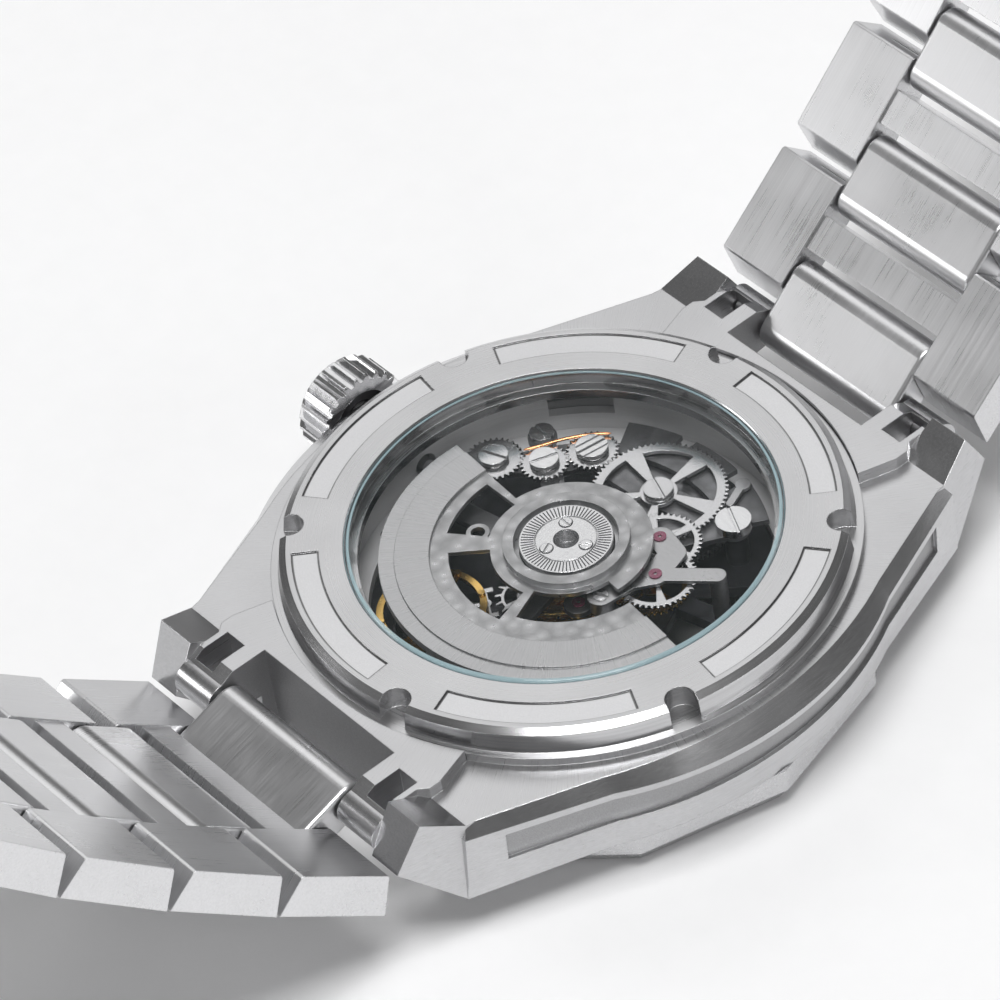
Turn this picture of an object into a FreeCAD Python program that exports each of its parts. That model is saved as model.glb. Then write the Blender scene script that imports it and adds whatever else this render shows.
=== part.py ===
import FreeCAD, Part
import math
import os

# Skeleton wristwatch, millimetres. Origin: centre of the front crystal's face.
# +Z points to the caseback, +Y to 12 o'clock, and the crown is at -X.

# Case
CASE_LOW = 3.1
CASE_TOP = 9.2
PLATFORM_TOP = 10.1
LUG_TIP_TOP = 10.7
LUG_TIP_LOW = 7.4
MOVEMENT_BORE = 15.0
BACK_BORE = 16.3
BACK_BORE_LOW = 7.5
POCKET_HALF = 6.3
POCKET_FLOOR_Y = 19.1
PANEL_DEPTH = 0.3

# Bezel and front crystal
BEZEL_RADIUS = 19.4
BEZEL_SIDES = 12
CRYSTAL_RADIUS = 15.4
CRYSTAL_THICK = 1.4

# Caseback
RING_BASE = 18.5
RING_TOP = 11.34
BACK_CRYSTAL_RADIUS = 13.67
BACK_CRYSTAL_SEAT = 10.2
BACK_CRYSTAL_TOP = 11.46
NOTCH_COUNT = 6
NOTCH_START = 43.3
SEGMENT_START = 13.3
SEGMENT_ARC = 43.0

# Crown and stem, on a horizontal axis
STEM_Z = 6.85
STEM_RADIUS = 0.5
CASE_TUBE_RADIUS = 1.2
CASE_TUBE_INNER_X = -16.4
CROWN_RADIUS = 3.3
CROWN_INNER_X = -20.6
CROWN_OUTER_X = -23.4
CROWN_FLUTES = 24

# Movement layers
PLATE_LOW, PLATE_TOP = 4.15, 5.0
BRIDGE_LOW, BRIDGE_TOP = 7.4, 7.8
WINDING_LOW, WINDING_TOP = 7.95, 8.2
AUTO_LOW, AUTO_TOP = 8.27, 8.42
PIVOT_RADIUS = 0.13
PIVOT_PLAY = 0.03
PLATE_RADIUS = 12.9

# Rotor
ROTOR_PLATE_LOW, ROTOR_PLATE_TOP = 9.2, 9.5
WEIGHT_LOW, WEIGHT_TOP = 9.05, 9.7
WEIGHT_OUTER, WEIGHT_INNER = 11.8, 8.6
HUB_RADIUS = 5.4
ROTOR_SPAN = (175.5, 354.0)
# Windows in the rotor plate: outer radius, inner radius, start and end angle
ROTOR_WINDOWS = [(7.7, 5.0, 180, 216), (7.4, 4.8, 229, 285), (6.8, 4.4, 292, 355)]
BEARING_RADIUS = 2.95

# Bracelet
PIN_RADIUS = 0.6
PIN_BORE = 0.65
PIN_HALF = 9.1
END_PIVOT_Y = 22.6
END_PIVOT_Z = 8.28
END_LINK = 3.7
CENTRE_LINK = 3.3
OUTER_LINK = 6.0
PITCHES = 4
FIRST_ANGLE = 39.0
ANGLE_STEP = 1.5
UPPER_FIRST_ANGLE = 40.3
LOWER_FIRST_ANGLE = -18.3
OUTER_HALF = 11.75
INNER_HALF = 6.2
CENTRE_HALF = 6.1
CENTRE_LINK_HALF_THICK = 1.3
WRIST_SIDE = 1.35
OUTER_SIDE = -1.40
CLASP_LENGTH = 30.0
CLASP_HALF = 8.5
BLADE_PIVOT_Z = 0.4

V = FreeCAD.Vector
UP = V(0, 0, 1)
ALONG_X = V(1, 0, 0)


# ---- shared shapes -------------------------------------------------------

def disc(radius, low, high, x=0.0, y=0.0):
    return Part.makeCylinder(radius, high - low, V(x, y, low))


def tube(outer, inner, low, high, x=0.0, y=0.0):
    return disc(outer, low, high, x, y).cut(disc(inner, low - 1, high + 1, x, y))


def block(x0, x1, y0, y1, z0, z1):
    return Part.makeBox(x1 - x0, y1 - y0, z1 - z0, V(x0, y0, z0))


def rod_x(radius, x0, x1, y=0.0, z=STEM_Z):
    return Part.makeCylinder(radius, x1 - x0, V(x0, y, z), ALONG_X)


def face_of(corners):
    return Part.Face(Part.makePolygon(corners + corners[:1]))


def prism(points, low, high):
    """Extrude an (x, y) outline upwards."""
    return face_of([V(x, y, low) for x, y in points]).extrude(V(0, 0, high - low))


def side_prism(points, x0, x1):
    """Extrude a (y, z) outline along X."""
    return face_of([V(x0, y, z) for y, z in points]).extrude(V(x1 - x0, 0, 0))


def turned(profile, x=0.0, y=0.0):
    """Turn an (r, z) outline about the vertical axis at (x, y)."""
    return face_of([V(x + r, y, z) for r, z in profile]).revolve(V(x, y, 0), UP, 360)


def spun(shape, angle, x=0.0, y=0.0):
    copy = shape.copy()
    copy.rotate(V(x, y, 0), UP, angle)
    return copy


def sector(outer, inner, low, high, start, end, x=0.0, y=0.0):
    wedge = Part.makeCylinder(outer, high - low, V(x, y, low), UP, end - start)
    return spun(wedge, start, x, y).cut(disc(inner, low - 1, high + 1, x, y))


def bar(start, end, width, low, high):
    """A straight bar with round ends between two points."""
    (x0, y0), (x1, y1) = start, end
    length = math.hypot(x1 - x0, y1 - y0)
    body = block(0, length, -width / 2, width / 2, low, high)
    body.rotate(V(0, 0, 0), UP, math.degrees(math.atan2(y1 - y0, x1 - x0)))
    body.translate(V(x0, y0, 0))
    return joined([body, disc(width / 2, low, high, x0, y0), disc(width / 2, low, high, x1, y1)])


def joined(shapes):
    first, rest = shapes[0], shapes[1:]
    return first.multiFuse(rest).removeSplitter() if rest else first


def mirrored(shape, axis):
    return shape.mirror(V(0, 0, 0), axis)


def four_corners(shape):
    left = mirrored(shape, V(1, 0, 0))
    pair = [shape, left]
    return pair + [mirrored(s, V(0, 1, 0)) for s in pair]


def save(name, *solids):
    shape = solids[0] if len(solids) == 1 else Part.makeCompound(list(solids))
    shape.exportStep("parts/" + name + ".step")


# ---- toothed wheels ------------------------------------------------------

class Gear:
    """A toothed wheel's place: centre, teeth, module and the angle of one tooth."""

    def __init__(self, x, y, teeth, module, phase=0.0):
        self.x, self.y, self.teeth, self.module, self.phase = x, y, teeth, module, phase

    @property
    def pitch(self):
        return self.teeth * self.module / 2

    @property
    def tip(self):
        return self.pitch + 0.8 * self.module

    @property
    def centre(self):
        return self.x, self.y

    def at_bearing(self, teeth, bearing):
        """The wheel in mesh with this one, at a bearing in degrees."""
        reach = self.pitch + teeth * self.module / 2
        x = self.x + reach * math.cos(math.radians(bearing))
        y = self.y + reach * math.sin(math.radians(bearing))
        return Gear(x, y, teeth, self.module, self.mesh_phase(teeth, bearing))

    def mesh_phase(self, teeth, bearing):
        """The tooth angle that puts the other wheel's gap on this wheel's tooth."""
        step = 360.0 / self.teeth
        fraction = ((bearing - self.phase) / step) % 1.0
        return bearing + 180.0 + (fraction + 0.5) * 360.0 / teeth

    def blank(self, low, high):
        """The wheel as a solid toothed disc."""
        step = 2 * math.pi / self.teeth
        root = self.pitch - 0.95 * self.module
        start = math.radians(self.phase)
        points = []
        for tooth in range(self.teeth):
            middle = start + tooth * step
            for radius, share in ((root, -0.31), (self.tip, -0.12), (self.tip, 0.12), (root, 0.31)):
                angle = middle + share * step
                points.append((self.x + radius * math.cos(angle), self.y + radius * math.sin(angle)))
        return prism(points, low, high)


def spoked(gear, low, high, spokes, rim, hub, width, turn=0.0):
    """A toothed wheel crossed out between its spokes."""
    root = gear.pitch - 0.95 * gear.module
    outer, arc = root - rim, 360.0 / spokes
    wheel = gear.blank(low, high)
    half = math.degrees(width / (outer + hub))
    for index in range(spokes):
        start = turn + index * arc + half
        wheel = wheel.cut(sector(outer, hub, low - 1, high + 1, start, start + arc - 2 * half, *gear.centre))
    return wheel


def arbor(gear, low, high, radius=0.25):
    """A wheel's arbor with a pivot at each end."""
    x, y = gear.centre
    return [disc(radius, low, high, x, y), disc(PIVOT_RADIUS, low - 0.4, high + 0.4, x, y)]


def slotted_screw(x, y, radius, low, high, angle, slot=0.2):
    head = disc(radius, low, high, x, y)
    cut = block(x - radius - 1, x + radius + 1, y - slot / 2, y + slot / 2, high - 0.12, high + 1)
    return head.cut(spun(cut, angle, x, y))


# ---- case ----------------------------------------------------------------

# Flank outline at each level: z, x at mid-flank, x where the arc ends, lug corner x and y
FLANK_LEVELS = [
    (3.1, 19.2, 16.4, 13.2, 20.2),
    (4.6, 19.5, 16.7, 13.4, 20.1),
    (8.3, 20.35, 17.2, 13.6, 19.9),
    (9.2, 19.0, 16.4, 13.2, 19.4),
]
ARC_END_Y = 11.2


def flank_wire(level, shrink=0.0):
    z, middle, arc_x, corner_x, corner_y = level
    middle, arc_x, corner_x = middle - shrink, arc_x - shrink, corner_x - shrink
    right = [V(corner_x, -corner_y, z), V(arc_x, -ARC_END_Y, z)]
    left = [V(-corner_x, corner_y, z), V(-arc_x, ARC_END_Y, z)]
    edges = [Part.makeLine(*right)]
    edges.append(Part.Arc(right[1], V(middle, 0, z), V(arc_x, ARC_END_Y, z)).toShape())
    edges.append(Part.makeLine(V(arc_x, ARC_END_Y, z), V(corner_x, corner_y, z)))
    edges.append(Part.makeLine(V(corner_x, corner_y, z), left[0]))
    edges.append(Part.makeLine(*left))
    edges.append(Part.Arc(left[1], V(-middle, 0, z), V(-arc_x, -ARC_END_Y, z)).toShape())
    edges.append(Part.makeLine(V(-arc_x, -ARC_END_Y, z), V(-corner_x, -corner_y, z)))
    edges.append(Part.makeLine(V(-corner_x, -corner_y, z), right[0]))
    return Part.Wire(edges)


def flank_body(levels, shrink=0.0):
    wires = [flank_wire(level, shrink) for level in levels]
    return joined([Part.makeLoft(list(pair), True, True) for pair in zip(wires, wires[1:])])


def lug():
    side = [(16.0, CASE_LOW), (20.2, CASE_LOW), (24.05, LUG_TIP_LOW), (22.2, LUG_TIP_TOP),
            (19.5, CASE_TOP), (16.0, CASE_TOP)]
    plan = [(9.6, 15.5), (14.0, 15.5), (13.3, 19.6), (11.95, 24.3), (9.6, 24.3)]
    return side_prism(side, 9.6, 16.0).common(prism(plan, 0, 12))


def end_arm():
    """The arm beside the bracelet pocket that holds the first pin."""
    side = [(18.0, 6.4), (22.6, END_PIVOT_Z - 1.3), (22.6, END_PIVOT_Z + 1.3), (21.6, PLATFORM_TOP),
            (18.0, PLATFORM_TOP)]
    nose = rod_x(1.3, POCKET_HALF, 9.6, END_PIVOT_Y, END_PIVOT_Z)
    return joined([side_prism(side, POCKET_HALF, 9.6), nose])


def panel_cuts():
    """Shallow recessed panels in both flanks, following the sloping wall."""
    wall = FLANK_LEVELS[1:3]
    inner = flank_body(wall, PANEL_DEPTH)
    right = prism([(14.8, 17.6), (12.0, 17.6), (12.0, -17.6), (14.8, -17.6), (24, -15), (24, 15)], 5.5, 7.75)
    right = right.cut(inner)
    return [right, mirrored(right, V(1, 0, 0))]


def case_middle():
    """The case body and the crown tube pressed into it."""
    body = flank_body(FLANK_LEVELS)
    platform = prism([(-8.8, 14.5), (8.8, 14.5), (10.1, 18.6), (10.1, 19.5), (9.6, 20.1),
                      (-9.6, 20.1), (-10.1, 19.5), (-10.1, 18.6)], CASE_TOP - 1, PLATFORM_TOP)
    added = four_corners(lug()) + four_corners(end_arm())
    added += [platform, mirrored(platform, V(0, 1, 0))]
    body = joined([body] + added)
    pocket = block(-POCKET_HALF, POCKET_HALF, POCKET_FLOOR_Y, 30, 0, 20)
    recess = block(7.5, 9.2, 19.7, 22.3, 0, 20)
    pin_hole = rod_x(PIN_BORE, POCKET_HALF - 1, 9.2, END_PIVOT_Y, END_PIVOT_Z)
    cuts = [pocket, mirrored(pocket, V(0, 1, 0))] + four_corners(recess) + four_corners(pin_hole)
    cuts += panel_cuts()
    cuts.append(disc(RING_BASE + 0.05, CASE_TOP, 12))
    cuts += [disc(MOVEMENT_BORE, 0, 12), disc(BACK_BORE, BACK_BORE_LOW, 12), rod_x(0.6, -25, -10)]
    cuts.append(rod_x(CASE_TUBE_RADIUS, -25, CASE_TUBE_INNER_X))
    crown_tube = rod_x(CASE_TUBE_RADIUS, -22.0, CASE_TUBE_INNER_X).cut(rod_x(0.6, -25, -10))
    return body.cut(cuts), crown_tube


def bezel():
    def polygon(radius, z):
        corners = [V(radius * math.cos(i * 2 * math.pi / BEZEL_SIDES),
                     radius * math.sin(i * 2 * math.pi / BEZEL_SIDES), z) for i in range(BEZEL_SIDES)]
        return Part.makePolygon(corners + corners[:1])

    front = Part.makeLoft([polygon(BEZEL_RADIUS - 1.0, 0), polygon(BEZEL_RADIUS, 1.4)], True, True)
    band = Part.Face(polygon(BEZEL_RADIUS, 1.4)).extrude(V(0, 0, CASE_LOW - 1.4))
    seat = disc(CRYSTAL_RADIUS + 0.4, -1, CRYSTAL_THICK)
    return joined([front, band]).cut([seat, disc(MOVEMENT_BORE - 0.3, -1, 5)])


def front_crystal():
    edge = 0.15
    r, t = CRYSTAL_RADIUS, CRYSTAL_THICK
    return turned([(0, 0), (r - edge, 0), (r, edge), (r, t), (0, t)])


def seals():
    front = tube(CRYSTAL_RADIUS + 0.4, CRYSTAL_RADIUS, 0.15, CRYSTAL_THICK)
    back = tube(17.6, 16.9, CASE_TOP, CASE_TOP + 0.4)
    return front, back


def caseback_ring():
    seat = BACK_CRYSTAL_RADIUS
    profile = [(13.0, 9.55), (13.0, BACK_CRYSTAL_SEAT), (seat, BACK_CRYSTAL_SEAT), (seat, RING_TOP - 0.1),
               (seat + 0.1, RING_TOP), (17.35, RING_TOP), (17.8, 11.05), (18.0, 9.8), (RING_BASE, 9.8),
               (RING_BASE, CASE_TOP), (16.2, CASE_TOP), (16.2, 7.6), (15.2, 7.6), (15.2, 9.0), (14.0, 9.55)]
    body = turned(profile)
    cuts = [tube(17.6, 16.9, CASE_TOP - 1, CASE_TOP + 0.4)]
    notch = joined([disc(0.95, 9.8, 12, 17.3, 0), block(17.3, 19.5, -0.95, 0.95, 9.8, 12)])
    arc = SEGMENT_ARC / 2
    for index in range(NOTCH_COUNT):
        turn = index * 360.0 / NOTCH_COUNT
        cuts.append(spun(notch, NOTCH_START + turn))
        middle = SEGMENT_START + turn
        cuts.append(sector(17.0, 15.28, RING_TOP - 0.12, 12, middle - arc, middle + arc))
    return body.cut(cuts)


def caseback_crystal():
    r, low, top = BACK_CRYSTAL_RADIUS - 0.02, BACK_CRYSTAL_SEAT, BACK_CRYSTAL_TOP
    return turned([(0, low), (r, low), (r, top - 0.25), (r - 0.25, top), (0, top)])


def movement_ring():
    """A foot that centres the main plate and a thin wall with a rectangular slot."""
    outer = MOVEMENT_BORE - 0.05
    body = joined([tube(outer, PLATE_RADIUS + 0.05, 3.4, 5.6), tube(outer, 14.3, 3.4, 9.0)])
    slot = sector(16.0, 14.0, 6.9, 8.6, 128, 145)
    return body.cut([slot, rod_x(0.8, -16, -12)])


def crown():
    flutes = Gear(0, 0, CROWN_FLUTES, 0.262).blank(0, CROWN_INNER_X - CROWN_OUTER_X)
    flutes.rotate(V(0, 0, 0), V(0, 1, 0), 90)
    flutes.translate(V(CROWN_OUTER_X, 0, STEM_Z))
    wide = CROWN_RADIUS + 0.4
    outer_end, inner_end = V(CROWN_OUTER_X, 0, STEM_Z), V(CROWN_INNER_X - 0.3, 0, STEM_Z)
    limit = Part.makeCone(CROWN_RADIUS - 0.35, wide, 0.75, outer_end, ALONG_X)
    tail = rod_x(wide, CROWN_OUTER_X + 0.75, CROWN_INNER_X - 0.3)
    heel = Part.makeCone(wide, CROWN_RADIUS - 0.1, 0.3, inner_end, ALONG_X)
    return flutes.common(joined([limit, tail, heel])).cut(rod_x(2.05, -22.6, CROWN_INNER_X + 1))


def crown_gasket():
    return rod_x(2.0, -21.3, -20.8).cut(rod_x(CASE_TUBE_RADIUS + 0.05, -22, -20))


def winding_stem():
    return rod_x(STEM_RADIUS, -22.6, -9.2)


# ---- movement ------------------------------------------------------------

# Winding wheels, from the ratchet wheel back to the crown wheel above the stem
RATCHET = Gear(-0.3, 7.7, 72, 0.12)
WINDING_2 = RATCHET.at_bearing(27, 183.9)
WINDING_1 = WINDING_2.at_bearing(25, -117.4)
CROWN_WHEEL = WINDING_1.at_bearing(30, -143.0)
PINION_X0, PINION_X1 = -11.3, -10.1

# Going train, from the barrel to the escape wheel
BARREL = Gear(*RATCHET.centre, 78, 0.12)
SECOND_PINION = BARREL.at_bearing(13, -49.6)
SECOND_REACH = math.hypot(*SECOND_PINION.centre)
SECOND_BEARING = math.degrees(math.atan2(SECOND_PINION.y, SECOND_PINION.x))
SECOND_WHEEL = Gear(*SECOND_PINION.centre, 40, SECOND_REACH / 40)
CENTRE_DRIVEN = SECOND_WHEEL.at_bearing(40, SECOND_BEARING + 180)
CENTRE_WHEEL = Gear(0, 0, 80, 0.08)
THIRD_BEARING = -32.0
THIRD_PINION = CENTRE_WHEEL.at_bearing(10, THIRD_BEARING)
THIRD_WHEEL = Gear(*THIRD_PINION.centre, 75, 2 * math.hypot(*THIRD_PINION.centre) / 85)
FOURTH_PINION = THIRD_WHEEL.at_bearing(10, THIRD_BEARING + 180)
FOURTH_WHEEL = Gear(0, 0, 72, 0.08)
ESCAPE_BEARING = -121.0
ESCAPE_PINION = FOURTH_WHEEL.at_bearing(6, ESCAPE_BEARING)
BALANCE_X, BALANCE_Y = -4.6, -7.7
FORK_X, FORK_Y = -2.86, -4.78

# Motion work under the dial
CANNON = Gear(0, 0, 10, 0.1)
MINUTE_WHEEL = CANNON.at_bearing(30, -60.0)
MINUTE_PINION = Gear(*MINUTE_WHEEL.centre, 8, 0.1)
HOUR_WHEEL = MINUTE_PINION.at_bearing(32, 120.0)

# Automatic work
ROTOR_GEAR = Gear(0, 0, 54, 0.12)
REVERSER = ROTOR_GEAR.at_bearing(42, 54.0)
REVERSER_PINION = Gear(*REVERSER.centre, 12, 0.12)
REDUCTION = REVERSER_PINION.at_bearing(42, -46.3)

BRIDGE_POSTS = [(-9.9, 6.2), (5.2, 9.1), (11.2, -2.6), (-11.6, -2.2), (2.6, -10.9)]
AUTO_FEET = [(4.5, -1.2), (8.5, 4.9)]
COCK_POST = (-10.3, -6.0)
CLICK_PIVOT = (3.1, 11.75)
CLICK_TIP = (3.79, 10.06)
POST_RADIUS = 0.75
COCK_LOW, COCK_TOP = 6.95, 7.35
# Openings in the main plate: outer radius, inner radius, start and end angle
PLATE_OPENINGS = [(11.4, 3.4, 222, 262), (11.4, 6.6, 8, 46), (11.4, 7.0, 275, 335)]


def pivots(low, high, gears):
    return [disc(PIVOT_RADIUS + PIVOT_PLAY, low, high, g.x, g.y) for g in gears]


TRAIN_ARBORS = [BARREL, SECOND_WHEEL, THIRD_WHEEL, ESCAPE_PINION]


def main_plate():
    low, high = PLATE_LOW, PLATE_TOP
    openings = [sector(outer, inner, low - 1, high + 1, start, end)
                for outer, inner, start, end in PLATE_OPENINGS]
    pieces = [disc(PLATE_RADIUS, low, high).cut(openings)]
    pieces += [bar((FORK_X, FORK_Y), (BALANCE_X, BALANCE_Y), 1.4, low, high),
               bar((BALANCE_X, BALANCE_Y), COCK_POST, 1.6, low, high),
               bar(ESCAPE_PINION.centre, (FORK_X, FORK_Y), 1.4, low, high)]
    pieces += [bar(SECOND_WHEEL.centre, AUTO_FEET[1], 1.3, low, high),
               bar(AUTO_FEET[1], (10.5, 6.0), 1.3, low, high)]
    pieces += [disc(POST_RADIUS, low, BRIDGE_LOW, x, y) for x, y in BRIDGE_POSTS]
    pieces.append(disc(0.9, low, COCK_LOW, *COCK_POST))
    plate = joined(pieces)
    holes = pivots(high - 0.45, high + 1, TRAIN_ARBORS)
    holes += [disc(0.66, low - 1, high + 1)]
    holes += [disc(0.16, high - 0.45, high + 1, x, y) for x, y in ((FORK_X, FORK_Y), (BALANCE_X, BALANCE_Y))]
    holes += [disc(0.16, low - 1, low + 0.45, *MINUTE_WHEEL.centre)]
    return plate.cut(holes)


def train_bridge():
    low, high = BRIDGE_LOW, BRIDGE_TOP
    ends = [g.centre for g in TRAIN_ARBORS]
    pieces = [disc(2.6, low, high)]
    pieces += [bar((0, 0), point, 1.5, low, high) for point in ends + BRIDGE_POSTS]
    pieces += [disc(0.95, low, high, x, y) for x, y in ends + BRIDGE_POSTS]
    pieces += [bar(BRIDGE_POSTS[1], BARREL.centre, 2.0, low, high),
               bar(BARREL.centre, WINDING_2.centre, 2.0, low, high),
               bar(WINDING_2.centre, WINDING_1.centre, 1.8, low, high),
               bar(WINDING_1.centre, BRIDGE_POSTS[0], 1.5, low, high),
               bar(WINDING_1.centre, CROWN_WHEEL.centre, 1.5, low, high),
               bar(BRIDGE_POSTS[1], CLICK_PIVOT, 1.2, low, high)]
    pieces.append(sector(11.2, 9.9, low, high, 58, 122))
    pieces += [sector(12.7, 11.0, low, high, start, start + 17) for start in (60, 83, 105)]
    bridge = joined(pieces)
    wells = [disc(0.5, low, high + 1, *g.centre) for g in (WINDING_1, WINDING_2, CROWN_WHEEL)]
    bridge = bridge.cut(wells + [disc(0.62, low - 1, high + 1, *BARREL.centre)])
    bridge = bridge.cut(pivots(low - 1, low + 0.35, [SECOND_WHEEL, THIRD_WHEEL, ESCAPE_PINION]))
    return bridge.cut([disc(0.2, low - 1, low + 0.3), disc(0.16, high - 0.4, high + 1, *CLICK_PIVOT)])


def automatic_bridge():
    """The S-shaped bridge that carries the studs of the reverser and reduction wheels."""
    low, high = 8.68, 8.92
    route = [REVERSER.centre, (5.0, 4.3), REDUCTION.centre, (4.7, 0.9), AUTO_FEET[0]]
    pieces = [bar(a, b, 1.7, low, high) for a, b in zip(route, route[1:])]
    pieces.append(bar(REDUCTION.centre, AUTO_FEET[1], 1.1, low, high))
    pieces += [disc(0.75, BRIDGE_TOP, low, *AUTO_FEET[0])]
    pieces += [disc(0.55, PLATE_TOP, low, *AUTO_FEET[1])]
    bridge = joined(pieces)
    studs = [disc(0.2, AUTO_LOW, low, *g.centre) for g in (REVERSER, REDUCTION)]
    return joined([bridge] + studs)


def balance_cock():
    low, high = COCK_LOW, COCK_TOP
    arm = joined([bar((BALANCE_X, BALANCE_Y), COCK_POST, 1.4, low, high),
                  disc(1.2, low, high, BALANCE_X, BALANCE_Y)])
    return arm.cut(disc(0.16, low - 1, low + 0.3, BALANCE_X, BALANCE_Y))


def jewels():
    spots = [(REVERSER.x, REVERSER.y, 8.92), (REDUCTION.x, REDUCTION.y, 8.92),
             (SECOND_WHEEL.x, SECOND_WHEEL.y, BRIDGE_TOP), (THIRD_WHEEL.x, THIRD_WHEEL.y, BRIDGE_TOP),
             (ESCAPE_PINION.x, ESCAPE_PINION.y, BRIDGE_TOP), (BALANCE_X, BALANCE_Y, 7.35)]
    return [tube(0.42, 0.12, z, z + 0.08, x, y) for x, y, z in spots]


def bridge_screws():
    """Slotted screws that hold the bridges, and the ones that hold the winding wheels."""
    screws = [slotted_screw(x, y, 0.8, BRIDGE_TOP, 8.2, 40 * i) for i, (x, y) in enumerate(BRIDGE_POSTS)]
    screws[1] = slotted_screw(*BRIDGE_POSTS[1], 1.15, BRIDGE_TOP, 8.45, -25)
    screws.append(slotted_screw(*AUTO_FEET[0], 0.5, 8.92, 9.0, 15))
    screws.append(slotted_screw(*COCK_POST, 0.7, 7.35, 7.75, 70))
    for gear, angle in ((WINDING_1, 70), (CROWN_WHEEL, 20)):
        stud = disc(0.45, BRIDGE_LOW, WINDING_TOP + 0.05, *gear.centre)
        screws.append(joined([stud, slotted_screw(*gear.centre, 0.95, WINDING_TOP + 0.05, 8.6, angle)]))
    head = slotted_screw(*WINDING_2.centre, 1.05, WINDING_TOP + 0.05, 8.6, 82)
    for offset in (-0.5, 0.5):
        groove = block(WINDING_2.x - 2, WINDING_2.x + 2, WINDING_2.y + offset - 0.07,
                       WINDING_2.y + offset + 0.07, 8.48, 9)
        head = head.cut(spun(groove, 82, *WINDING_2.centre))
    screws.append(joined([disc(0.45, BRIDGE_LOW, WINDING_TOP + 0.05, *WINDING_2.centre), head]))
    return screws


def ratchet_wheel():
    wheel = spoked(RATCHET, WINDING_LOW, WINDING_TOP, 5, 0.55, 1.2, 0.8, 20)
    screw = slotted_screw(*RATCHET.centre, 0.95, WINDING_TOP, 8.55, -20)
    return joined([wheel, screw, disc(0.59, BRIDGE_LOW + 0.05, WINDING_LOW, *RATCHET.centre)])


def winding_wheel(gear):
    wheel = gear.blank(WINDING_LOW, WINDING_TOP)
    return wheel.cut(disc(0.48, WINDING_LOW - 1, WINDING_TOP + 1, *gear.centre))


def winding_pinion():
    body = Gear(0, 0, 14, 0.13).blank(0, PINION_X1 - PINION_X0)
    body.rotate(V(0, 0, 0), V(0, 1, 0), 90)
    body.translate(V(PINION_X0, 0, STEM_Z))
    return body.cut(rod_x(STEM_RADIUS + 0.04, -12, -9))


def click():
    """The pawl that rests in the ratchet wheel's teeth."""
    x, y = CLICK_PIVOT
    arm = bar((x, y), CLICK_TIP, 0.5, WINDING_LOW, WINDING_TOP)
    foot = disc(PIVOT_RADIUS, BRIDGE_TOP - 0.35, WINDING_LOW, x, y)
    return joined([arm, disc(0.5, WINDING_LOW, WINDING_TOP, x, y), foot])


def barrel():
    teeth = BARREL.blank(5.9, 6.2)
    drum = disc(4.3, 6.2, 7.3, *BARREL.centre)
    return joined([teeth, drum, disc(0.55, 5.4, 5.9, *BARREL.centre),
                   disc(PIVOT_RADIUS, PLATE_TOP - 0.4, 5.4, *BARREL.centre)])


def second_wheel():
    low = spoked(SECOND_WHEEL, 5.1, 5.25, 4, 0.35, 0.7, 0.4)
    pinion = SECOND_PINION.blank(5.7, 6.6)
    return joined([low, pinion] + arbor(SECOND_WHEEL, 5.1, 7.3))


def centre_wheel():
    """Hollow centre arbor: the driven wheel, the great wheel and the cannon pinion."""
    driven = CENTRE_DRIVEN.blank(5.1, 5.25)
    great = spoked(CENTRE_WHEEL, 5.4, 5.52, 4, 0.35, 0.8, 0.4, 15)
    pipe = disc(0.34, 2.15, 3.7)
    parts = [driven, great, disc(0.6, 4.2, 5.4), CANNON.blank(3.7, 4.2), pipe]
    return joined(parts).cut(disc(0.2, 0, 8))


def third_wheel():
    wheel = spoked(THIRD_WHEEL, 6.75, 6.9, 4, 0.35, 0.7, 0.4, 40)
    return joined([wheel, THIRD_PINION.blank(5.3, 5.7)] + arbor(THIRD_WHEEL, 5.1, 7.3))


def fourth_wheel():
    wheel = spoked(FOURTH_WHEEL, 6.3, 6.45, 4, 0.3, 0.7, 0.35, 70)
    axle = [disc(0.17, 1.85, 7.6), disc(0.25, 5.6, 7.3)]
    return joined([wheel, FOURTH_PINION.blank(6.65, 7.0)] + axle)


def escape_wheel():
    x, y = ESCAPE_PINION.centre
    points = []
    for tooth in range(15):
        start = math.radians(tooth * 24.0)
        for radius, turn in ((1.5, 0.0), (1.9, 0.10), (1.9, 0.16), (1.5, 0.14)):
            points.append((x + radius * math.cos(start + turn), y + radius * math.sin(start + turn)))
    wheel = prism(points, 5.6, 5.75)
    for spoke in range(4):
        wheel = wheel.cut(sector(1.3, 0.5, 5, 6, spoke * 90 + 12, spoke * 90 + 78, x, y))
    return joined([wheel, ESCAPE_PINION.blank(6.2, 6.55)] + arbor(ESCAPE_PINION, 5.1, 7.3, 0.18))


def pallet_fork():
    x, y = FORK_X, FORK_Y
    low, high = 5.6, 5.78
    toward = math.degrees(math.atan2(ESCAPE_PINION.y - y, ESCAPE_PINION.x - x))
    lever = bar((x, y), (BALANCE_X + 0.35, BALANCE_Y + 0.59), 0.32, low, high)
    arms = joined([block(-0.2, 0.2, -1.15, 1.15, low, high), block(0, 0.62, -1.3, -0.95, low, high),
                   block(0, 0.62, 0.95, 1.3, low, high)])
    arms.rotate(V(0, 0, 0), UP, toward)
    arms.translate(V(x, y, 0))
    return joined([lever, arms, disc(0.35, low, high, x, y), disc(PIVOT_RADIUS, PLATE_TOP - 0.4, 5.9, x, y)])


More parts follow.
